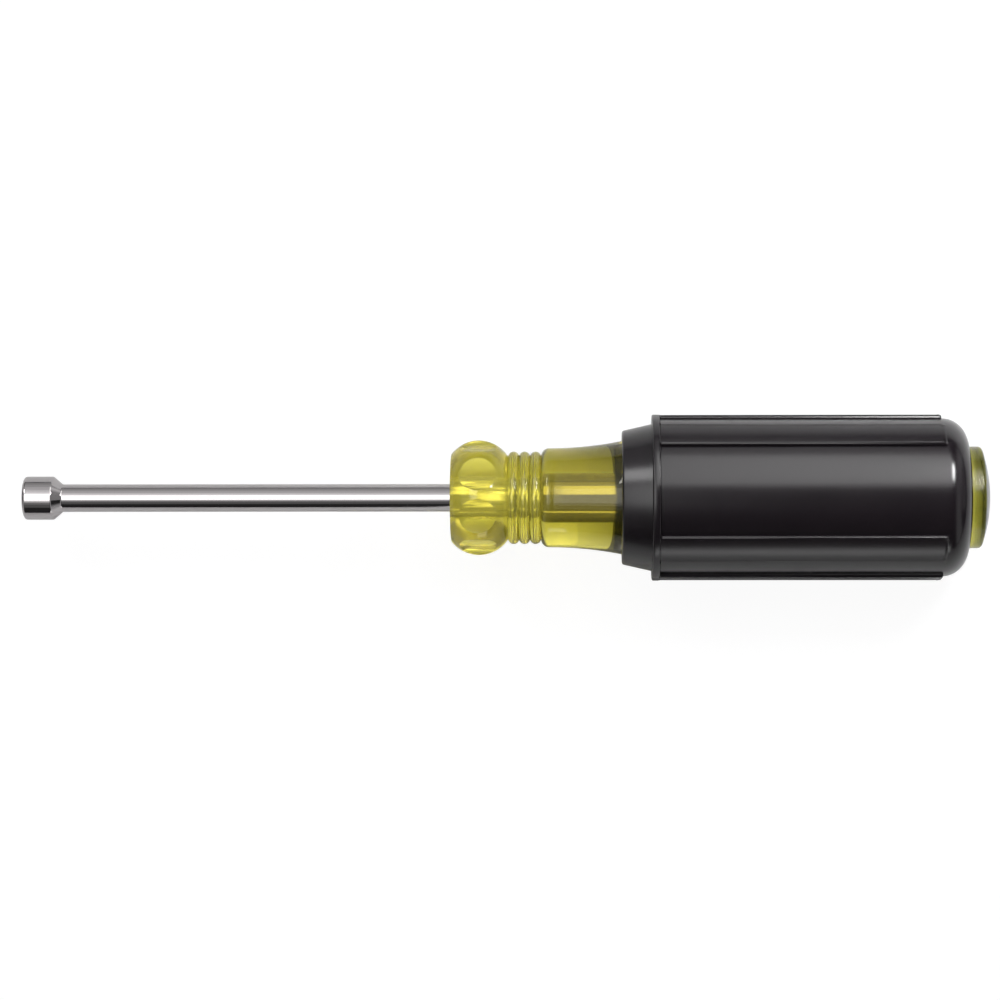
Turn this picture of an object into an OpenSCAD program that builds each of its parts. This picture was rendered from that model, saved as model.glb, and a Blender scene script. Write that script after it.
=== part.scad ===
// Nut driver: hollow socket shaft, fluted acetate handle, cushion grip and size cap.
// The tool lies along X. The socket mouth is at X = 0, the butt at +X, one wide grip panel faces +Z.

/* [Socket shaft] */
// Length of shaft in front of the handle, from the socket mouth
shaft_reach = 76.2; // [60:0.1:160]
// Outside diameter of the shaft
shaft_d = 4.9; // [4.4:0.05:6]
// Diameter of the bore that takes the end of a long bolt
bolt_bore_d = 3.2; // [2:0.1:3.4]
// How far the bolt bore runs on behind the handle's front face
bore_run_in = 20; // [5:1:24]
// Length of shaft held inside the handle
tail_l = 44; // [40:1:60]
// Length of plain shaft inside the handle, in front of the thicker core
core_in = 16.8; // [10:0.1:24]
// Diameter of the thicker core that the handle grips
core_d = 6; // [5.2:0.1:6.8]
// Length of the anchor ears at the buried end
ear_l = 12; // [6:0.5:14]
// Width over the two anchor ears
ear_span = 8; // [6.5:0.1:9]
// Thickness of the anchor ears
ear_t = 1.8; // [1.2:0.1:2.4]

/* [Socket head] */
// Outside diameter of the socket head
head_d = 7.7; // [7.2:0.05:9]
// Length of the head at its full diameter
head_l = 5.2; // [4.8:0.1:12]
// Length of the cone from the head down to the shaft
head_cone_l = 1.65; // [1:0.05:4]
// Rounding of the head's front edge
mouth_round = 0.6; // [0.1:0.05:0.8]
// Size of the nut across its flats
hex_size = 4.7625; // [4:0.0125:5]
// Play between the nut and the socket, across the flats
hex_play = 0.09; // [0.02:0.01:0.2]
// Depth of the hex socket
hex_depth = 4.5; // [2:0.1:4.7]
// Width of the lead-in past the corners of the hex
hex_lead = 0.15; // [0.05:0.01:0.25]

/* [Handle front] */
// Length of the handle, from its front face to the top of the size cap
handle_l = 95.25; // [90:0.05:120]
// Diameter of the flat front face
front_face_d = 15.64; // [14:0.02:18]
// Diameter of the ball over its crest
ball_d = 20.36; // [19:0.02:20.6]
// Radius of the ball's outline
ball_arc_r = 6.2; // [5:0.05:7]
// Diameter over the crests of the rings
ring_d = 16.44; // [16:0.02:17.4]
// Radius of each rounded ring
ring_round = 1; // [0.96:0.01:1.2]
// Distance from ring to ring
ring_pitch = 1.94; // [1.6:0.01:2.2]
// Number of rings
ring_count = 3; // [1:1:4]
// Diameter at the front of the neck
neck_d = 17.6; // [17:0.02:18.4]
// Rounding of the neck's front shoulder
shoulder_round = 1.4; // [1:0.05:1.8]
// Radius of the hollow curve that flares the neck out to the barrel
flare_r = 66; // [50:1:90]

/* [Handle bar] */
// Diameter of the bar that the handle is turned from
bar_d = 20.8; // [20.4:0.05:22]
// Number of flutes along the bar
flute_count = 8; // [6:1:10]
// Diameter across the bottoms of two opposite flutes
flute_bottom_d = 18.5; // [18:0.05:19.6]
// Radius of each flute's hollow
flute_r = 12; // [9:0.1:16]
// Diameter of the plain butt behind the barrel
butt_d = 18; // [17.6:0.05:18.2]
// Rounding of the butt's edge
butt_round = 0.65; // [0.2:0.05:0.65]

/* [Cushion grip] */
// Length of neck seen between its front shoulder and the grip
neck_show = 12.9; // [8:0.1:20]
// Length from the rear of the grip to the top of the size cap
butt_show = 3.55; // [2.5:0.05:6]
// Length of the tapered collar
collar_l = 5.3; // [3:0.1:8]
// Diameter at the front of the collar
collar_front_d = 23.9; // [23:0.1:25]
// Diameter at the rear of the collar
collar_rear_d = 26.1; // [25.2:0.1:27.6]
// Chamfer at the front edge of the collar
collar_edge = 0.3; // [0.1:0.05:0.6]
// Diameter of the flange ring
flange_d = 29.5; // [29.3:0.1:34]
// Thickness of the flange ring
flange_t = 1.4; // [0.8:0.1:3]
// Diameter of the panels between the ribs
panel_d = 28; // [27:0.1:28.8]
// Diameter over the ribs
rib_d = 29.3; // [28.9:0.1:29.5]
// Width of each rib, in degrees round the grip
rib_arc = 22.5; // [14:0.5:28]
// Rounding of the rear end of the grip
rear_round = 4.9; // [3:0.1:4.9]
// Distance from the ends of the ribs to the start of the rear rounding
rib_stop = 0.1; // [0:0.1:4]
// Thickness of the lip that closes over the rear of the barrel
rear_lip = 3.4; // [2:0.1:5]

/* [Size cap] */
// Diameter of the size cap
cap_d = 16.6; // [14:0.1:16.8]
// Depth of the cap's edge in its recess
cap_edge_t = 0.8; // [0.4:0.1:2]
// Radius of the cap's dome
dome_r = 25; // [18:0.5:60]

/* [Fits] */
// Gap round the shaft and its ears in the handle
shaft_fit = 0.02; // [0.01:0.01:0.1]
// Gap at the end of the shaft in the handle
tail_gap = 0.3; // [0.1:0.1:1]
// Gap between the handle and the grip
grip_fit = 0.04; // [0.02:0.01:0.1]
// Gap round the size cap in its recess
cap_fit = 0.03; // [0.01:0.01:0.1]

/* [Hidden] */
$fn = 96;
eps = 0.5;
overall_l = shaft_reach + handle_l;
shaft_r = shaft_d / 2;
head_r = head_d / 2;
bolt_r = bolt_bore_d / 2;
bolt_bore_l = shaft_reach + bore_run_in;
tail_x = shaft_reach + tail_l;
core_x = shaft_reach + core_in;
core_r = core_d / 2;
hex_flat_r = (hex_size + hex_play) / 2;
hex_corner_r = hex_flat_r / cos(30);
hex_lead_r = hex_corner_r + hex_lead;
hex_lead_l = hex_lead_r - hex_flat_r;
hex_floor_l = (hex_flat_r - bolt_r) * tan(31);
neck_r = neck_d / 2;
root_r = neck_r - shoulder_round;
bar_r = bar_d / 2;
ball_centre_r = ball_d / 2 - ball_arc_r;
ball_x = shaft_reach + sqrt(pow(ball_arc_r, 2) - pow(front_face_d / 2 - ball_centre_r, 2));
ball_end_x = ball_x + sqrt(pow(ball_arc_r, 2) - pow(root_r - ball_centre_r, 2));
ring_x = ball_end_x + ring_round;
neck_x = ring_x + (ring_count - 1) * ring_pitch + ring_round + shoulder_round;
flute_step = 360 / flute_count;
flute_centre_r = flute_bottom_d / 2 + flute_r;
butt_r = butt_d / 2;
cap_r = cap_d / 2;
cap_rim_x = overall_l - dome_r + sqrt(pow(dome_r, 2) - pow(cap_r, 2));
cap_seat_x = cap_rim_x - cap_edge_t;
grip_end_x = overall_l - butt_show;
grip_x = neck_x + neck_show;
barrel_end_x = grip_end_x - rear_lip;
flange_x = grip_x + collar_l;
panel_r = panel_d / 2;
rib_r = rib_d / 2;
rib_end_x = grip_end_x - rear_round - rib_stop;
rib_step = 45;
rib_root = 1;

// Lays a piece that is drawn up the Z axis along X
module lay() {
    rotate([0, 90, 0]) children();
}

// Outline of the head, cone, shaft and core, as radius against length
module shaft_outline() {
    translate([head_r - mouth_round, mouth_round]) circle(r = mouth_round);
    square([head_r - mouth_round, head_l]);
    translate([0, mouth_round]) square([head_r, head_l - mouth_round]);
    polygon([[0, head_l], [head_r, head_l], [shaft_r, head_l + head_cone_l], [0, head_l + head_cone_l]]);
    translate([0, head_l]) square([shaft_r, tail_x - head_l]);
    translate([0, core_x]) square([core_r, tail_x - core_x]);
}

// The flat ears that keep the shaft from turning in the handle
module ears(gap) {
    translate([-ear_t / 2 - gap, -ear_span / 2 - gap, tail_x - ear_l - gap])
        cube([ear_t + 2 * gap, ear_span + 2 * gap, ear_l + gap]);
}

// The hex socket with its lead-in, sloped floor and bolt bore
module socket_bore() {
    translate([0, 0, -eps]) cylinder(h = hex_depth + eps, r = hex_corner_r, $fn = 6);
    cylinder(h = hex_lead_l, r1 = hex_lead_r, r2 = hex_flat_r);
    translate([0, 0, hex_depth]) cylinder(h = hex_floor_l, r1 = hex_flat_r, r2 = bolt_r);
    cylinder(h = bolt_bore_l, r = bolt_r);
}

module socket_shaft() {
    color([0.80, 0.81, 0.83])
        lay()
            difference() {
                union() {
                    rotate_extrude() shaft_outline();
                    ears(0);
                }
                socket_bore();
            }
}

// Outline of the neck, barrel and butt, grown by a gap for the grip's bore
module barrel_outline(gap) {
    difference() {
        translate([0, neck_x]) square([bar_r + gap, barrel_end_x + gap - neck_x]);
        translate([neck_r + flare_r, neck_x]) circle(r = flare_r - gap);
    }
    translate([0, neck_x]) square([butt_r + gap, cap_rim_x - butt_round - neck_x]);
}

// Outline of the ball, rings and front shoulder
module front_outline() {
    intersection() {
        translate([ball_centre_r, ball_x]) circle(r = ball_arc_r);
        translate([0, shaft_reach]) square([bar_r, 3 * ball_arc_r]);
    }
    translate([0, shaft_reach]) square([root_r, neck_x - shaft_reach]);
    for (k = [0 : ring_count - 1])
        translate([ring_d / 2 - ring_round, ring_x + k * ring_pitch]) circle(r = ring_round);
    translate([root_r, neck_x]) circle(r = shoulder_round);
}

// Outline of the rounded rim of the butt
module butt_outline() {
    translate([0, cap_seat_x - eps]) square([butt_r - butt_round, cap_rim_x - cap_seat_x + eps]);
    translate([butt_r - butt_round, cap_rim_x - butt_round]) circle(r = butt_round);
}

// The scalloped flutes of the bar
module flutes(gap) {
    for (k = [0 : flute_count - 1])
        rotate([0, 0, (k + 0.5) * flute_step])
            translate([flute_centre_r, 0, shaft_reach - eps])
                cylinder(h = handle_l + 2 * eps, r = flute_r - gap);
}

module handle() {
    color([0.84, 0.78, 0.22])
        lay()
            difference() {
                rotate_extrude() {
                    front_outline();
                    barrel_outline(0);
                    butt_outline();
                }
                flutes(0);
                translate([0, 0, shaft_reach - eps])
                    cylinder(h = tail_l + tail_gap + eps, r = shaft_r + shaft_fit);
                translate([0, 0, core_x - shaft_fit])
                    cylinder(h = tail_x + tail_gap - core_x + shaft_fit, r = core_r + shaft_fit);
                ears(shaft_fit);
                translate([0, 0, cap_seat_x]) cylinder(h = cap_edge_t + eps, r = cap_r + cap_fit);
            }
}

// Outline of the grip without its ribs
module grip_outline() {
    polygon([
        [0, grip_x],
        [collar_front_d / 2 - collar_edge, grip_x],
        [collar_front_d / 2, grip_x + collar_edge],
        [collar_rear_d / 2, flange_x],
        [0, flange_x]
    ]);
    translate([0, flange_x]) square([flange_d / 2, flange_t]);
    translate([0, flange_x]) square([panel_r, grip_end_x - rear_round - flange_x]);
    translate([0, flange_x]) square([panel_r - rear_round, grip_end_x - flange_x]);
    translate([panel_r - rear_round, grip_end_x - rear_round]) circle(r = rear_round);
}

// Six ribs in eight even places, with the places on the two wide panels left free
module ribs() {
    translate([0, 0, flange_x])
        linear_extrude(height = rib_end_x - flange_x)
            for (k = [1, 2, 3, 5, 6, 7])
                rotate(k * rib_step)
                    difference() {
                        intersection() {
                            circle(r = rib_r);
                            polygon([
                                [0, 0],
                                [rib_d, -rib_d * tan(rib_arc / 2)],
                                [rib_d, rib_d * tan(rib_arc / 2)]
                            ]);
                        }
                        circle(r = panel_r - rib_root);
                    }
}

module cushion_grip() {
    color([0.10, 0.10, 0.11])
        lay()
            difference() {
                union() {
                    rotate_extrude() grip_outline();
                    ribs();
                }
                difference() {
                    rotate_extrude() barrel_outline(grip_fit);
                    flutes(grip_fit);
                }
            }
}

module size_cap() {
    color([0.06, 0.06, 0.07])
        lay()
            intersection() {
                translate([0, 0, cap_seat_x]) cylinder(h = overall_l - cap_seat_x, r = cap_r);
                translate([0, 0, overall_l - dome_r]) sphere(r = dome_r);
            }
}

socket_shaft();
handle();
cushion_grip();
size_cap();
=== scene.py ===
import math
import bpy
from mathutils import Matrix, Vector


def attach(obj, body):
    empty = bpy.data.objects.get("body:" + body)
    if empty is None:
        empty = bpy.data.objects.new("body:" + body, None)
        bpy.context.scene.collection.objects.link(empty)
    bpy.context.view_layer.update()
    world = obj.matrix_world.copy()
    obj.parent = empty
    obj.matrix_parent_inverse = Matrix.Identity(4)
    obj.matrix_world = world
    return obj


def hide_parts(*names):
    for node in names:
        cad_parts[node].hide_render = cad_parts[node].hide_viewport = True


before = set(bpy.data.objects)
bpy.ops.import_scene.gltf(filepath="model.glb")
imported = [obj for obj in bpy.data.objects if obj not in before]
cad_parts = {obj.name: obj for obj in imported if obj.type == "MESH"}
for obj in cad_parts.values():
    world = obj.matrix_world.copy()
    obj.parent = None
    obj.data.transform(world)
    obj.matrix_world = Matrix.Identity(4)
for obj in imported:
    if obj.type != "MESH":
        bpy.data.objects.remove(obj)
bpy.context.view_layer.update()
scene = bpy.context.scene
scene.view_settings.view_transform = "Standard"
mm = 0.001
print("packed model loaded:", ", ".join(sorted(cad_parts)))


def toLinear(hexText):
    parts = [int(hexText[i:i + 2], 16) / 255 for i in (1, 3, 5)]
    return [p / 12.92 if p <= 0.04045 else ((p + 0.055) / 1.055) ** 2.4 for p in parts] + [1.0]


def addNode(tree, kind, settings=None, links=None):
    node = tree.nodes.new(kind)
    for key, value in (settings or {}).items():
        if isinstance(key, int) or key in node.inputs:
            node.inputs[key].default_value = value
        else:
            setattr(node, key, value)
    for key, source in (links or {}).items():
        tree.links.new(source, node.inputs[key])
    return node


def ramp(fromLow, fromHigh, low, high):
    return {"From Min": fromLow, "From Max": fromHigh, "To Min": low, "To Max": high}


def newMaterial(name):
    material = bpy.data.materials.new(name)
    material.use_nodes = True
    material.node_tree.nodes.clear()
    return material, material.node_tree


# Modelling helpers

def arcPoints(x, r, radius, start, end, step=3.5):
    count = max(2, math.ceil(abs(end - start) / step))      # short chords keep the turned curves smooth
    angles = [math.radians(start + (end - start) * i / count) for i in range(count + 1)]
    return [(x + radius * math.cos(a), r + radius * math.sin(a)) for a in angles]


def drawLine(name, points):
    bpy.ops.object.select_all(action="DESELECT")
    bpy.ops.mesh.primitive_plane_add(size=mm)
    piece = bpy.context.object
    piece.name = piece.data.name = name
    bpy.ops.object.mode_set(mode="EDIT")
    bpy.ops.mesh.select_all(action="SELECT")
    bpy.ops.mesh.merge(type="CENTER")                       # one corner is left, at the origin
    bpy.ops.transform.translate(value=Vector(points[0]) * mm)
    for here, there in zip(points, points[1:]):
        step = (Vector(there) - Vector(here)) * mm
        if step.length > 1e-9:
            bpy.ops.mesh.extrude_region_move(TRANSFORM_OT_translate={"value": step})
    return piece


def closeMesh():
    bpy.ops.mesh.select_all(action="SELECT")
    bpy.ops.mesh.remove_doubles(threshold=1e-6)
    bpy.ops.mesh.normals_make_consistent(inside=False)
    bpy.ops.mesh.select_all(action="DESELECT")


def turnPiece(name, outline, steps):
    piece = drawLine(name, [(x, 0, r) for x, r in outline])
    bpy.ops.mesh.select_all(action="SELECT")
    bpy.ops.mesh.spin(steps=steps, angle=2 * math.pi, center=(0, 0, 0), axis=(1, 0, 0))
    closeMesh()
    bpy.ops.object.mode_set(mode="OBJECT")
    return piece


def pick(piece):
    bpy.ops.object.select_all(action="DESELECT")
    bpy.context.view_layer.objects.active = piece
    piece.select_set(True)


def combine(piece, tool, operation):
    pick(piece)
    bpy.ops.object.modifier_add(type="BOOLEAN")
    modifier = piece.modifiers[-1]
    modifier.operation = operation
    modifier.solver = "EXACT"
    modifier.object = tool
    bpy.ops.object.modifier_apply(modifier=modifier.name)
    bpy.data.objects.remove(tool)


def finishPiece(piece, node, material, angle):
    pick(piece)
    bpy.ops.object.shade_smooth_by_angle(angle=math.radians(angle))
    piece.data.materials.clear()
    piece.data.materials.append(material)
    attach(piece, "root")
    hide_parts(node)
    print(piece.name, "made:", len(piece.data.polygons), "faces")


# Chromed steel: plated bright over a polished turning, so it mirrors the studio in crisp bands
# with only a trace of haze from fine polishing marks round the shaft
chrome = {"plate": "#C5C1C2", "core": "#857D70", "mark": 2.5, "stretch": (1, 6, 6), "haze": (0.05, 0.11),
          "buriedX": (76.2, 76.4), "buriedHaze": 0.12, "coreX": 92.9, "coreHaze": -0.1}
chromedSteel, tree = newMaterial("chromed_steel_polished")
place = addNode(tree, "ShaderNodeTexCoord")
spread = addNode(tree, "ShaderNodeMapping", {"Scale": chrome["stretch"]}, {"Vector": place.outputs["Object"]})
marks = addNode(tree, "ShaderNodeTexNoise", {"Scale": 1 / (chrome["mark"] * mm), "Detail": 4.0},
                {"Vector": spread.outputs[0]})
haze = addNode(tree, "ShaderNodeMapRange", ramp(0.0, 1.0, *chrome["haze"]), {"Value": marks.outputs[0]})
along = addNode(tree, "ShaderNodeSeparateXYZ", links={0: place.outputs["Object"]})
core = addNode(tree, "ShaderNodeMath", {"operation": "GREATER_THAN", 1: chrome["coreX"] * mm}, {0: along.outputs[0]})
plate = addNode(tree, "ShaderNodeMix",
                {"data_type": "RGBA", 6: toLinear(chrome["plate"]), 7: toLinear(chrome["core"])},
                {0: core.outputs[0]})
buried = addNode(tree, "ShaderNodeMapRange",
                 ramp(chrome["buriedX"][0] * mm, chrome["buriedX"][1] * mm, 0.0, chrome["buriedHaze"]),
                 {"Value": along.outputs[0]})
dull = addNode(tree, "ShaderNodeMath", {"operation": "MULTIPLY_ADD", 1: chrome["coreHaze"]},
               {0: core.outputs[0], 2: buried.outputs[0]})
rough = addNode(tree, "ShaderNodeMath", {"operation": "ADD"}, {0: dull.outputs[0], 1: haze.outputs[0]})
surface = addNode(tree, "ShaderNodeBsdfPrincipled", {"Metallic": 1.0},
                  {"Base Color": plate.outputs[2], "Roughness": rough.outputs[0]})
addNode(tree, "ShaderNodeOutputMaterial", links={"Surface": surface.outputs[0]})

# Cellulose acetate: a clear yellow bar, turned and polished by solvent, so it bends light like a lens,
# shows the shaft inside and deepens to olive where the light has a long way through it;
# the darker olive of the butt end is painted shade
acetate = {"ripple": 3.0, "rippleRough": 0.04, "ringX": (85.5, 87.0), "turnedRough": (0.08, 0.11),
           "neckX": (91.0, 96.0), "buttX": 164.4, "buttRough": 0.2, "tint": (0.97, 0.935, 0.14, 1),
           "buttPaintedShade": (0.62, 0.62, 0.1, 1), "clear": 0.97, "turnedCloud": -0.1, "wave": 0.04, "waveDepth": 0.05,
           "ior": 1.48, "body": (0.7, 0.5, 0.1, 1), "density": 20.0}
clearAcetate, tree = newMaterial("clear_yellow_acetate")
place = addNode(tree, "ShaderNodeTexCoord")
ripple = addNode(tree, "ShaderNodeTexNoise", {"Scale": 1 / (acetate["ripple"] * mm), "Detail": 2.0},
                 {"Vector": place.outputs["Object"]})
along = addNode(tree, "ShaderNodeSeparateXYZ", links={0: place.outputs["Object"]})
rings = addNode(tree, "ShaderNodeMapRange",
                ramp(acetate["ringX"][0] * mm, acetate["ringX"][1] * mm, *acetate["turnedRough"]),
                {"Value": along.outputs[0]})
neck = addNode(tree, "ShaderNodeMapRange", ramp(acetate["neckX"][0] * mm, acetate["neckX"][1] * mm, 1.0, 0.0),
               {"Value": along.outputs[0]})                 # 1 on the ball and rings, 0 from the neck on
butt = addNode(tree, "ShaderNodeMath", {"operation": "GREATER_THAN", 1: acetate["buttX"] * mm}, {0: along.outputs[0]})
sawn = addNode(tree, "ShaderNodeMath", {"operation": "MULTIPLY", 1: acetate["buttRough"]}, {0: butt.outputs[0]})
turned = addNode(tree, "ShaderNodeMath", {"operation": "MULTIPLY_ADD"},
                 {0: rings.outputs[0], 1: neck.outputs[0], 2: sawn.outputs[0]})
gloss = addNode(tree, "ShaderNodeMath", {"operation": "MULTIPLY_ADD", 1: acetate["rippleRough"]},
                {0: ripple.outputs[0], 2: turned.outputs[0]})
# the butt end is mixed to a darker olive: painted shade for the black grip bore seen through it
tint = addNode(tree, "ShaderNodeMix", {"data_type": "RGBA", 6: acetate["tint"], 7: acetate["buttPaintedShade"]},
               {0: butt.outputs[0]})
clear = addNode(tree, "ShaderNodeMath", {"operation": "MULTIPLY_ADD", 1: acetate["turnedCloud"], 2: acetate["clear"]},
                {0: neck.outputs[0]})
wave = addNode(tree, "ShaderNodeBump", {"Strength": acetate["wave"], "Distance": acetate["waveDepth"] * mm},
               {"Height": ripple.outputs[0]})
surface = addNode(tree, "ShaderNodeBsdfPrincipled", {"IOR": acetate["ior"]},
                  {"Base Color": tint.outputs[2], "Transmission Weight": clear.outputs[0],
                   "Roughness": gloss.outputs[0], "Normal": wave.outputs[0]})
body = addNode(tree, "ShaderNodeVolumeAbsorption", {"Color": acetate["body"], "Density": acetate["density"]})
addNode(tree, "ShaderNodeOutputMaterial", links={"Surface": surface.outputs[0], "Volume": body.outputs[0]})

# Soft vinyl: moulded black sleeve with a satin skin, so broad lights show as wide grey glows,
# a fine grain breaks up the edges of the highlights and the rounded end is a little shinier
vinyl = {"grain": 0.25, "grainBump": 0.05, "grainDepth": 0.03, "cloud": 9.0, "tones": ("#171317", "#1D181C"),
         "rough": (0.225, 0.268),                           # kept under 0.27, above which swirls showed
         "rearX": (162.5, 164.5), "rearRough": -0.08, "ior": 1.54}
blackVinyl, tree = newMaterial("black_vinyl_satin")
place = addNode(tree, "ShaderNodeTexCoord")
grain = addNode(tree, "ShaderNodeTexNoise", {"Scale": 1 / (vinyl["grain"] * mm), "Detail": 3.0},
                {"Vector": place.outputs["Object"]})
cloud = addNode(tree, "ShaderNodeTexNoise", {"Scale": 1 / (vinyl["cloud"] * mm), "Detail": 2.0},
                {"Vector": place.outputs["Object"]})
along = addNode(tree, "ShaderNodeSeparateXYZ", links={0: place.outputs["Object"]})
rear = addNode(tree, "ShaderNodeMapRange",
               ramp(vinyl["rearX"][0] * mm, vinyl["rearX"][1] * mm, 0.0, vinyl["rearRough"]),
               {"Value": along.outputs[0]})
skinned = addNode(tree, "ShaderNodeMapRange", ramp(0.0, 1.0, *vinyl["rough"]), {"Value": cloud.outputs[0]})
satin = addNode(tree, "ShaderNodeMath", {"operation": "ADD"}, {0: skinned.outputs[0], 1: rear.outputs[0]})
skin = addNode(tree, "ShaderNodeBump", {"Strength": vinyl["grainBump"], "Distance": vinyl["grainDepth"] * mm},
               {"Height": grain.outputs[0]})
tone = addNode(tree, "ShaderNodeMix",
               {"data_type": "RGBA", 6: toLinear(vinyl["tones"][0]), 7: toLinear(vinyl["tones"][1])},
               {0: cloud.outputs[0]})
surface = addNode(tree, "ShaderNodeBsdfPrincipled", {"IOR": vinyl["ior"]},
                  {"Base Color": tone.outputs[2], "Roughness": satin.outputs[0], "Normal": skin.outputs[0]})
addNode(tree, "ShaderNodeOutputMaterial", links={"Surface": surface.outputs[0]})

# Moulded styrene disc: black, with a hard gloss that turns pale where it is seen at a low angle
styrene = {"tone": "#141414", "orangePeel": 1.2, "gloss": (0.1, 0.2), "ior": 1.59}
glossCap, tree = newMaterial("black_styrene_gloss")
place = addNode(tree, "ShaderNodeTexCoord")
orange = addNode(tree, "ShaderNodeTexNoise", {"Scale": 1 / (styrene["orangePeel"] * mm), "Detail": 2.0},
                 {"Vector": place.outputs["Object"]})
gloss = addNode(tree, "ShaderNodeMapRange", ramp(0.0, 1.0, *styrene["gloss"]), {"Value": orange.outputs[0]})
surface = addNode(tree, "ShaderNodeBsdfPrincipled", {"Base Color": toLinear(styrene["tone"]), "IOR": styrene["ior"]},
                  {"Roughness": gloss.outputs[0]})
addNode(tree, "ShaderNodeOutputMaterial", links={"Surface": surface.outputs[0]})
print("materials made")

# Socket shaft
shaft = {"headR": 3.85, "headL": 5.2, "coneL": 1.65, "mouthRound": 0.6, "edgeRound": 0.4, "shaftR": 2.45,
         "coreX": 93.0, "coreR": 3.0, "tailX": 120.2, "hexFlatR": 2.42625, "hexDepth": 4.5, "hexLead": 0.15,
         "hexSlack": 0.002, "floorAngle": 31, "boltR": 1.6, "boltEnd": 96.2, "earSpan": 8.0, "earT": 1.8,
         "earL": 12.0, "earEdge": 0.2, "over": 0.5, "steps": 192, "boreSteps": 96, "smooth": 18}
coneX = shaft["headL"] + shaft["coneL"]
coneTilt = math.degrees(math.atan2(shaft["headR"] - shaft["shaftR"], shaft["coneL"]))
edgeR = shaft["edgeRound"]
edgeL = edgeR * math.tan(math.radians(coneTilt / 2))
outline = [(0, 0)]
outline += arcPoints(shaft["mouthRound"], shaft["headR"] - shaft["mouthRound"], shaft["mouthRound"], 180, 90, 6)
outline += arcPoints(shaft["headL"] - edgeL, shaft["headR"] - edgeR, edgeR, 90, 90 - coneTilt, 6)
outline += arcPoints(coneX + edgeL, shaft["shaftR"] + edgeR, edgeR, 270 - coneTilt, 270, 6)
outline += [(shaft["coreX"], shaft["shaftR"]), (shaft["coreX"], shaft["coreR"]),
            (shaft["tailX"], shaft["coreR"]), (shaft["tailX"], 0)]
socketShaft = turnPiece("socket_shaft_chromed", outline, shaft["steps"])

bpy.ops.object.select_all(action="DESELECT")
bpy.ops.mesh.primitive_cube_add(size=1, location=((shaft["tailX"] - shaft["earL"] / 2) * mm, 0, 0))
ears = bpy.context.object
bpy.ops.object.mode_set(mode="EDIT")
bpy.ops.mesh.select_all(action="SELECT")
bpy.ops.transform.resize(value=(shaft["earL"] * mm, shaft["earSpan"] * mm, shaft["earT"] * mm))
bpy.ops.mesh.bevel(offset=shaft["earEdge"] * mm, segments=2, affect="EDGES")
bpy.ops.object.mode_set(mode="OBJECT")
bpy.ops.object.transform_apply(location=True, rotation=True, scale=True)
combine(socketShaft, ears, "UNION")

hexCornerR = shaft["hexFlatR"] / math.cos(math.pi / 6)
leadR = hexCornerR + shaft["hexLead"]
leadL = leadR - shaft["hexFlatR"]
floorL = (shaft["hexFlatR"] - shaft["boltR"]) * math.tan(math.radians(shaft["floorAngle"]))
bpy.ops.object.select_all(action="DESELECT")
bpy.ops.mesh.primitive_circle_add(vertices=6, radius=hexCornerR * mm, fill_type="NGON",
                                  location=(-shaft["over"] * mm, 0, 0), rotation=(0, math.pi / 2, 0))
hexTool = bpy.context.object
bpy.ops.object.transform_apply(location=True, rotation=True, scale=True)
bpy.ops.object.mode_set(mode="EDIT")
bpy.ops.mesh.select_all(action="SELECT")
bpy.ops.transform.rotate(value=math.pi / 6, orient_axis="X", center_override=(0, 0, 0))     # corners up and down
bpy.ops.mesh.extrude_region_move(
    TRANSFORM_OT_translate={"value": ((shaft["hexDepth"] + shaft["over"]) * mm, 0, 0)})
closeMesh()
bpy.ops.object.mode_set(mode="OBJECT")
combine(socketShaft, hexTool, "DIFFERENCE")
innerR = shaft["hexFlatR"] - shaft["hexSlack"]             # leaves the hex its flats
boreTool = turnPiece("bolt_bore_tool", [
    (-shaft["over"], 0), (-shaft["over"], leadR), (0, leadR), (leadL, innerR), (shaft["hexDepth"], innerR),
    (shaft["hexDepth"] + floorL, shaft["boltR"]), (shaft["boltEnd"], shaft["boltR"]), (shaft["boltEnd"], 0)],
    shaft["boreSteps"])
combine(socketShaft, boreTool, "DIFFERENCE")
finishPiece(socketShaft, "socket_shaft", chromedSteel, shaft["smooth"])

# Handle
handle = {"frontX": 76.2, "frontR": 7.82, "ballR": 10.18, "ballArc": 6.2, "ringR": 8.22, "ringRound": 1.0,
          "ringPitch": 1.94, "ringCount": 3, "neckR": 8.8, "shoulder": 1.4, "flareR": 66.0, "barR": 10.4,
          "barrelEnd": 164.5, "buttR": 9.0, "buttRound": 0.65, "rimX": 170.03, "seatX": 169.23, "recessR": 8.33,
          "press": 0.005, "boreEnd": 120.5, "fluteBottom": 9.25, "fluteR": 12.0, "fluteCount": 8, "fluteTurn": -2.6,
          "fluteSide": 19.8, "fluteFacets": 24, "fluteTop": (3.2, 11.3), "ballFlute": (75.7, 92.0), "runInX": 104.5,
          "runInL": 6.0, "runInDrop": 1.2, "fluteEnd": 172.7, "steps": 256, "smooth": 8}
rootR = handle["neckR"] - handle["shoulder"]
ballC = handle["ballR"] - handle["ballArc"]
ballX = handle["frontX"] + math.sqrt(handle["ballArc"] ** 2 - (handle["frontR"] - ballC) ** 2)
ballEnd = ballX + math.sqrt(handle["ballArc"] ** 2 - (rootR - ballC) ** 2)
ringX = ballEnd + handle["ringRound"]
ringC = handle["ringR"] - handle["ringRound"]
neckX = ringX + (handle["ringCount"] - 1) * handle["ringPitch"] + handle["ringRound"] + handle["shoulder"]
flareEnd = math.degrees(math.acos(1 - (handle["barR"] - handle["neckR"]) / handle["flareR"]))


def flareLine(gap, step):
    line = arcPoints(neckX, handle["neckR"] + handle["flareR"], handle["flareR"] - gap, -90, -90 + flareEnd, step)
    return [p for p in line if p[1] < handle["barR"] + gap] + [(line[-1][0], handle["barR"] + gap)]


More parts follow.
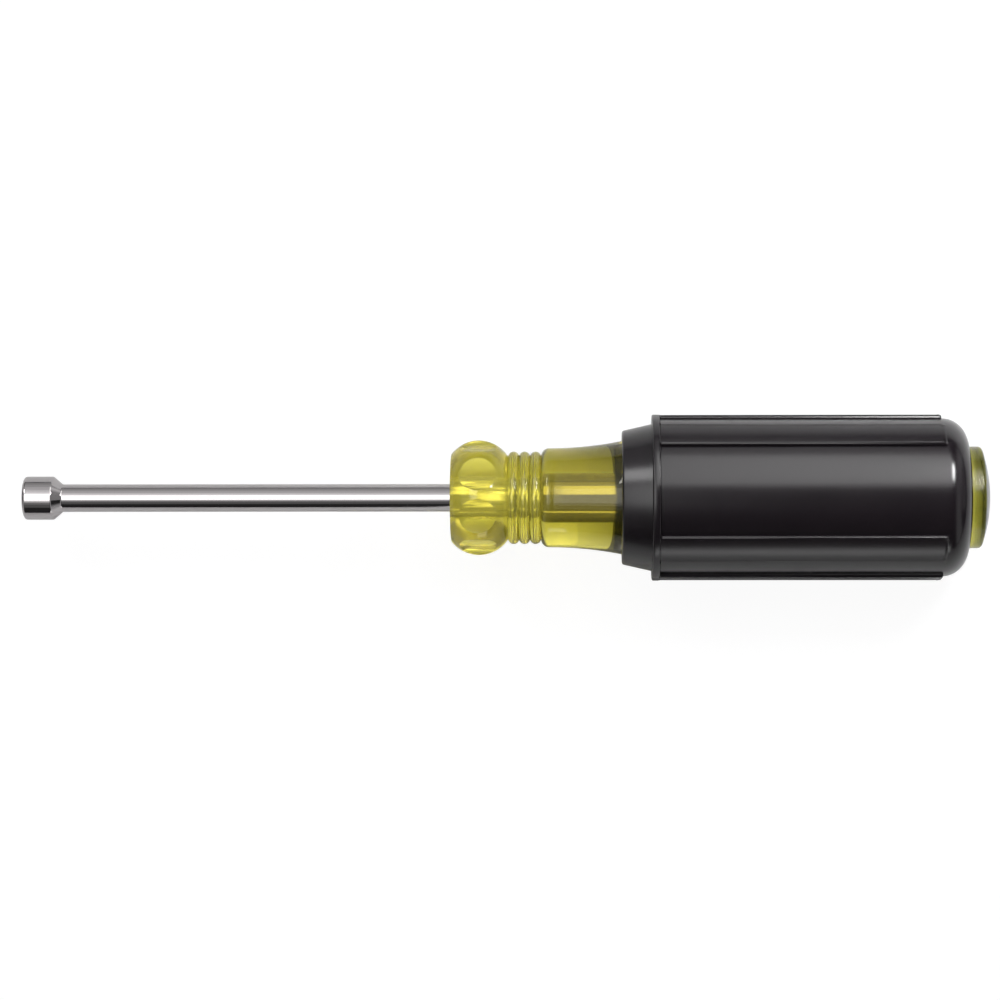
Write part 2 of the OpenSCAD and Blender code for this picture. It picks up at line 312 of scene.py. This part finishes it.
def ballLine():
    start = math.degrees(math.atan2(handle["frontR"] - ballC, handle["frontX"] - ballX))
    end = math.degrees(math.atan2(rootR - ballC, ballEnd - ballX))
    return arcPoints(ballX, ballC, handle["ballArc"], start, end, 2.5)


def ringLine():
    half = math.degrees(math.acos(handle["ringPitch"] / 2 / handle["ringRound"]))
    root = math.degrees(math.asin((rootR - ringC) / handle["ringRound"]))
    points = []
    for k in range(handle["ringCount"]):
        start = 180 - (root if k == 0 else half)
        end = root if k == handle["ringCount"] - 1 else half
        points += arcPoints(ringX + k * handle["ringPitch"], ringC, handle["ringRound"], start, end, 5)
    return points


def fluteBars(gap, start, end, runIn=0):
    radius = handle["fluteR"] - gap
    centre = handle["fluteBottom"] + handle["fluteR"]
    facets = handle["fluteFacets"]
    angles = [math.radians(a * handle["fluteSide"] / facets) for a in range(-facets, facets + 1)]
    line = [(radius * math.sin(a), centre - radius * math.cos(a)) for a in angles]
    halfTop, top = handle["fluteTop"]
    line += [(halfTop, top), (-halfTop, top)]               # closes well outside the bar
    bar = drawLine("flute_tool", [(start, y, z) for y, z in line])
    bpy.ops.mesh.select_all(action="SELECT")
    bpy.ops.mesh.edge_face_add()
    if runIn:
        drop = handle["runInDrop"] * mm
        bpy.ops.transform.translate(value=(0, 0, drop))
        bpy.ops.mesh.extrude_region_move(TRANSFORM_OT_translate={"value": (runIn * mm, 0, -drop)})
    bpy.ops.mesh.extrude_region_move(TRANSFORM_OT_translate={"value": ((end - start - runIn) * mm, 0, 0)})
    bpy.ops.mesh.select_all(action="SELECT")
    bpy.ops.transform.rotate(value=math.radians(180 / handle["fluteCount"] + handle["fluteTurn"]), orient_axis="X",
                             center_override=(0, 0, 0))
    for k in range(handle["fluteCount"] - 1):
        bpy.ops.mesh.duplicate()
        bpy.ops.transform.rotate(value=math.radians(360 / handle["fluteCount"]), orient_axis="X",
                                 center_override=(0, 0, 0))
    closeMesh()
    bpy.ops.object.mode_set(mode="OBJECT")
    return bar


boreR, coreBoreR = shaft["shaftR"] - handle["press"], shaft["coreR"] - handle["press"]      # so no film of air shows
coreBoreX = shaft["coreX"] + handle["press"]
outline = [(handle["boreEnd"], 0), (handle["boreEnd"], coreBoreR), (coreBoreX, coreBoreR), (coreBoreX, boreR),
           (handle["frontX"], boreR)]
outline += ballLine() + ringLine()
outline += arcPoints(neckX, rootR, handle["shoulder"], 180, 90, 4)
outline += flareLine(0, 0.4)[1:]
outline += [(handle["barrelEnd"], handle["barR"]), (handle["barrelEnd"], handle["buttR"])]
outline += arcPoints(handle["rimX"] - handle["buttRound"], handle["buttR"] - handle["buttRound"],
                     handle["buttRound"], 90, 0, 8)
outline += [(handle["rimX"], handle["recessR"]), (handle["seatX"], handle["recessR"]), (handle["seatX"], 0)]
clearHandle = turnPiece("handle_clear_acetate", outline, handle["steps"])
combine(clearHandle, fluteBars(0, *handle["ballFlute"]), "DIFFERENCE")
combine(clearHandle, fluteBars(0, handle["runInX"], handle["fluteEnd"], handle["runInL"]), "DIFFERENCE")
finishPiece(clearHandle, "handle", clearAcetate, handle["smooth"])

# Cushion grip
grip = {"frontX": 106.418, "flangeX": 111.718, "flangeT": 1.4, "endX": 167.4, "collarFrontR": 11.95,
        "collarRearR": 13.05, "collarEdge": 0.5, "collarTop": 101.7, "flangeR": 14.742, "panelR": 14.0, "ribR": 14.65,
        "rearRound": 4.4, "ribEnd": 162.9, "ribAngle": 22.5, "ribTurns": (1, 2, 3, 5, 6, 7), "boreR": 8.0,
        "flangeRound": 0.26, "ribRound": 0.4, "roundCuts": 3, "fit": 0.04, "steps": 256, "boreSteps": 128, "smooth": 25,
        "nearR": 0.004, "nearTurn": 0.7}                    # how close counts as on a radius, and at a rib's side
flangeEnd = grip["flangeX"] + grip["flangeT"]
roundX = grip["endX"] - grip["rearRound"]
outline = [(grip["frontX"], grip["boreR"])]
outline += arcPoints(grip["frontX"] + grip["collarEdge"], grip["collarFrontR"] - grip["collarEdge"],
                     grip["collarEdge"], 180, grip["collarTop"], 10)
outline += [(grip["flangeX"], grip["collarRearR"]),
            (grip["flangeX"], grip["flangeR"]), (flangeEnd, grip["flangeR"]),
            (flangeEnd, grip["ribR"]), (grip["ribEnd"], grip["ribR"]), (grip["ribEnd"], grip["panelR"])]
outline += arcPoints(roundX, grip["panelR"] - grip["rearRound"], grip["rearRound"], 90, 0, 4)
outline += [(grip["endX"], grip["boreR"]), (grip["frontX"], grip["boreR"])]
cushionGrip = turnPiece("cushion_grip_vinyl", outline, grip["steps"])


def ribNear(y, z, slack):
    turn = math.degrees(math.atan2(y, z)) % 360
    return any(abs((turn - 45 * k + 180) % 360 - 180) < grip["ribAngle"] / 2 + slack for k in grip["ribTurns"])


# the floors between the ribs are pressed in from the ribs' own radius
floorDepth = (grip["ribR"] - grip["panelR"]) * mm
for face in cushionGrip.data.polygons:
    c = face.center
    radius = math.hypot(c.y, c.z)
    face.select = (flangeEnd * mm < c.x < grip["ribEnd"] * mm and abs(radius - grip["ribR"] * mm) < 0.02 * mm
                   and not ribNear(c.y, c.z, 0))
bpy.ops.object.mode_set(mode="EDIT")
bpy.ops.mesh.select_mode(type="FACE")
bpy.ops.mesh.extrude_region_shrink_fatten(TRANSFORM_OT_shrink_fatten={"value": -floorDepth, "use_even_offset": True})
bpy.ops.object.mode_set(mode="OBJECT")
for face in cushionGrip.data.polygons:
    c = face.center
    radius = math.hypot(c.y, c.z)
    face.select = (abs(c.x - grip["ribEnd"] * mm) < 1e-6 and grip["panelR"] * mm < radius < grip["ribR"] * mm
                   and not ribNear(c.y, c.z, 0))
bpy.ops.object.mode_set(mode="EDIT")
bpy.ops.mesh.delete(type="FACE")                            # opens the floors to the rounded rear end
bpy.ops.mesh.select_mode(type="VERT")
closeMesh()
bpy.ops.object.mode_set(mode="OBJECT")


def liesAt(points, radius):
    return all(abs(math.hypot(p.y, p.z) / mm - radius) < grip["nearR"] for p in points)


def ribEdge(a, b):
    onRib = liesAt((a, b), grip["ribR"]) and min(a.x, b.x) > (flangeEnd - 0.01) * mm
    y, z = (a.y + b.y) / 2, (a.z + b.z) / 2
    side = abs(a.x - b.x) > 1 * mm and not ribNear(y, z, -grip["nearTurn"]) and ribNear(y, z, grip["nearTurn"])
    return onRib and (side or min(a.x, b.x) > (grip["ribEnd"] - 0.01) * mm)


def flangeEdge(a, b):
    return liesAt((a, b), grip["flangeR"]) and abs(a.x - b.x) < 1e-6


for isEdge, width in ((ribEdge, grip["ribRound"]), (flangeEdge, grip["flangeRound"])):
    for vertex in cushionGrip.data.vertices:
        vertex.select = False
    for edge in cushionGrip.data.edges:
        edge.select = isEdge(*(cushionGrip.data.vertices[i].co for i in edge.vertices))
    bpy.ops.object.mode_set(mode="EDIT")
    bpy.ops.mesh.select_mode(type="EDGE")
    bpy.ops.mesh.bevel(offset=width * mm, segments=grip["roundCuts"], affect="EDGES", clamp_overlap=False)
    bpy.ops.mesh.select_mode(type="VERT")
    bpy.ops.object.mode_set(mode="OBJECT")

outline = [(grip["frontX"] - 2, 0), (grip["frontX"] - 2, handle["neckR"])]
outline += [p for p in flareLine(grip["fit"], 1.0) if p[0] > grip["frontX"] - 1]
outline += [(handle["barrelEnd"] + grip["fit"], handle["barR"] + grip["fit"]),
            (handle["barrelEnd"] + grip["fit"], handle["buttR"] + grip["fit"]),
            (grip["endX"] + 1, handle["buttR"] + grip["fit"]), (grip["endX"] + 1, 0)]
barTool = turnPiece("bar_tool", outline, grip["boreSteps"])
combine(barTool, fluteBars(grip["fit"], handle["runInX"], handle["fluteEnd"], handle["runInL"]), "DIFFERENCE")
combine(cushionGrip, barTool, "DIFFERENCE")
finishPiece(cushionGrip, "cushion_grip", blackVinyl, grip["smooth"])

# Size cap
cap = {"seatX": 169.23, "rimX": 170.03, "topX": 171.45, "r": 8.3, "domeR": 25.0, "edge": 0.12, "steps": 128,
       "smooth": 20}
tilt = math.degrees(math.asin((cap["r"] - cap["edge"]) / cap["domeR"]))
outline = [(cap["seatX"], 0), (cap["seatX"], cap["r"]), (cap["rimX"] - cap["edge"], cap["r"])]
outline += arcPoints(cap["topX"] - cap["domeR"], 0, cap["domeR"], tilt, 0, 1)
sizeCap = turnPiece("size_cap_domed", outline, cap["steps"])
finishPiece(sizeCap, "size_cap", glossCap, cap["smooth"])

# Pale floor: white for the camera, with part of its own light left so that the tool's shadow shows,
# and a painted glow, stronger on the far side of the tool, for what is seen through the acetate
floorSet = {"size": 8000.0, "z": -14.75, "tone": "#EDEDED", "glow": 1.10, "camera": 0.85, "paintedGlow": (0.02, 0.3),
            "paintedGlowY": (0.0, 6.0)}
bpy.ops.object.select_all(action="DESELECT")
bpy.ops.mesh.primitive_plane_add(size=floorSet["size"] * mm, location=(0, 0, floorSet["z"] * mm))
paleFloor = bpy.context.object
paleFloor.name = paleFloor.data.name = "pale_floor"
bpy.ops.object.transform_apply(location=True, rotation=True, scale=True)
matPaper, tree = newMaterial("matt_white_paper")
path = addNode(tree, "ShaderNodeLightPath")
paper = addNode(tree, "ShaderNodeBsdfDiffuse", {"Color": toLinear(floorSet["tone"])})
glow = addNode(tree, "ShaderNodeEmission", {"Color": (1, 1, 1, 1), "Strength": floorSet["glow"]})
seen = addNode(tree, "ShaderNodeMath", {"operation": "MULTIPLY", 1: floorSet["camera"]},
               {0: path.outputs["Is Camera Ray"]})
place = addNode(tree, "ShaderNodeTexCoord")
across = addNode(tree, "ShaderNodeSeparateXYZ", links={0: place.outputs["Object"]})
# painted light: a glow seen only through the acetate, faint on the near side of the tool and strong past its middle
paintedGlow = addNode(tree, "ShaderNodeMapRange",
               ramp(floorSet["paintedGlowY"][0] * mm, floorSet["paintedGlowY"][1] * mm, *floorSet["paintedGlow"]),
               {"Value": across.outputs[1]})
through = addNode(tree, "ShaderNodeMath", {"operation": "MULTIPLY_ADD", "use_clamp": True},
                  {0: path.outputs["Is Transmission Ray"], 1: paintedGlow.outputs[0], 2: seen.outputs[0]})
both = addNode(tree, "ShaderNodeMixShader", links={0: through.outputs[0], 1: paper.outputs[0], 2: glow.outputs[0]})
addNode(tree, "ShaderNodeOutputMaterial", links={"Surface": both.outputs[0]})
paleFloor.data.materials.append(matPaper)

# World: a dim studio that reads white behind the floor, with white walls in its corners for the metal to mirror
studio = bpy.data.worlds.new("dim_studio")
scene.world = studio
studio.use_nodes = True
tree = studio.node_tree
tree.nodes.clear()
worldSet = {"dim": 0.025, "camera": 0.975, "wall": 0.5, "wallFrom": (0.5, 0.62), "wallTo": (0.8, 0.88),
            "transmission": 0.6}
path = addNode(tree, "ShaderNodeLightPath")
seen = addNode(tree, "ShaderNodeMath", {"operation": "MULTIPLY_ADD", 1: worldSet["camera"], 2: worldSet["dim"]},
               {0: path.outputs["Is Camera Ray"]})
heading = addNode(tree, "ShaderNodeTexCoord")
ends = addNode(tree, "ShaderNodeSeparateXYZ", links={0: heading.outputs["Generated"]})
endwise = addNode(tree, "ShaderNodeMath", {"operation": "ABSOLUTE"}, {0: ends.outputs[0]})
rise = addNode(tree, "ShaderNodeMapRange", ramp(*worldSet["wallFrom"], 0.0, worldSet["wall"]),
               {"Value": endwise.outputs[0]})
fall = addNode(tree, "ShaderNodeMapRange", ramp(*worldSet["wallTo"], 1.0, 0.0), {"Value": endwise.outputs[0]})
walls = addNode(tree, "ShaderNodeMath", {"operation": "MULTIPLY"}, {0: rise.outputs[0], 1: fall.outputs[0]})
mirrored = addNode(tree, "ShaderNodeMath", {"operation": "MULTIPLY_ADD"},
                   {0: path.outputs["Is Glossy Ray"], 1: walls.outputs[0], 2: seen.outputs[0]})
through = addNode(tree, "ShaderNodeMath", {"operation": "MULTIPLY_ADD", 1: worldSet["transmission"]},
                  {0: path.outputs["Is Transmission Ray"], 2: mirrored.outputs[0]})
sky = addNode(tree, "ShaderNodeBackground", {"Color": (1, 1, 1, 1)}, {"Strength": through.outputs[0]})
addNode(tree, "ShaderNodeOutputWorld", links={"Surface": sky.outputs[0]})

# Camera: looks down on the tool, a little from its lower side, as in the photograph
shot = {"tilt": 5.7, "standX": 101.0, "aimX": 89.24, "drop": 0.40, "roll": 0.05, "shift": -0.025, "distance": 533.0,
        "lens": 107.98}
toCamera = Vector((0, -math.sin(math.radians(shot["tilt"])), math.cos(math.radians(shot["tilt"]))))
imageUp = Vector((0, math.cos(math.radians(shot["tilt"])), math.sin(math.radians(shot["tilt"]))))
stand = (Vector((shot["standX"], 0, 0)) + toCamera * shot["distance"]) * mm
aim = (Vector((shot["aimX"], 0, 0)) - imageUp * shot["drop"]) * mm
bpy.ops.object.camera_add(location=stand)
camera = bpy.context.object
camera.data.lens = shot["lens"]
camera.data.sensor_width = 36.0
camera.data.clip_start, camera.data.clip_end = 0.01, 20.0
back = (stand - aim).normalized()
right = imageUp.cross(back).normalized()
up = back.cross(right)
level = Matrix.Rotation(math.radians(-shot["roll"]), 3, back)
camera.rotation_euler = (level @ Matrix((right, up, back)).transposed()).to_euler()
camera.data.shift_x = shot["shift"]
scene.camera = camera


# Soft studio lights, each placed by its angle from the camera's direction, up the image being positive
def addSoftbox(name, x, angle, distance, alongX, across, level, aimX=None, through=True):
    turn = math.radians(angle - shot["tilt"])
    away = Vector((0, math.sin(turn), math.cos(turn)))
    spot = (Vector((x, 0, 0)) + away * distance) * mm
    target = Vector((x if aimX is None else aimX, 0, 0)) * mm
    bpy.ops.object.light_add(type="AREA", location=spot, rotation=(target - spot).to_track_quat("-Z", "Y").to_euler())
    lamp = bpy.context.object
    lamp.name = lamp.data.name = name
    lamp.data.shape = "RECTANGLE"
    lamp.data.size, lamp.data.size_y = alongX * mm, across * mm
    lamp.data.energy = level * 4 * lamp.data.size * lamp.data.size_y
    lamp.visible_camera = False
    lamp.visible_transmission = through


# a graded panel over the shaft, in strips from one angle to the next,
# which falls off slowly up the image and fast down it
shaftPanel = {"x": -80, "distance": 600, "alongX": 300,
              "strips": [(-52, -36, 0.075), (-36, -26, 0.135), (-26, -18, 0.38), (-18, -12, 0.95), (-12, 20, 2.0),
                         (20, 29, 1.05), (29, 42, 0.68), (42, 50, 0.48), (50, 62, 0.45), (62, 76, 0.33),
                         (76, 92, 0.25)]}
for low, high, level in shaftPanel["strips"]:
    across = 2 * shaftPanel["distance"] * math.tan(math.radians((high - low) / 2))
    addSoftbox("softbox_shaft_%d" % low, shaftPanel["x"], (low + high) / 2, shaftPanel["distance"],
               shaftPanel["alongX"], across, level)
addSoftbox("softbox_key", x=215, angle=40.5, distance=600, alongX=230, across=522, level=2.5)
addSoftbox("softbox_grip_low", x=174, angle=-80.5, distance=500, alongX=232, across=97, level=1.75)
addSoftbox("softbox_rear", x=220, angle=37, distance=150, alongX=26, across=60, level=28.0, through=False)
addSoftbox("softbox_collar", x=-590, angle=40, distance=1500, alongX=285, across=525, level=6.0)
addSoftbox("softbox_back", x=155, angle=76, distance=500, alongX=150, across=210, level=0.55)
addSoftbox("softbox_end", x=700, angle=46, distance=255, alongX=650, across=290, level=0.2, aimX=0)
print("stage, lights and camera set")
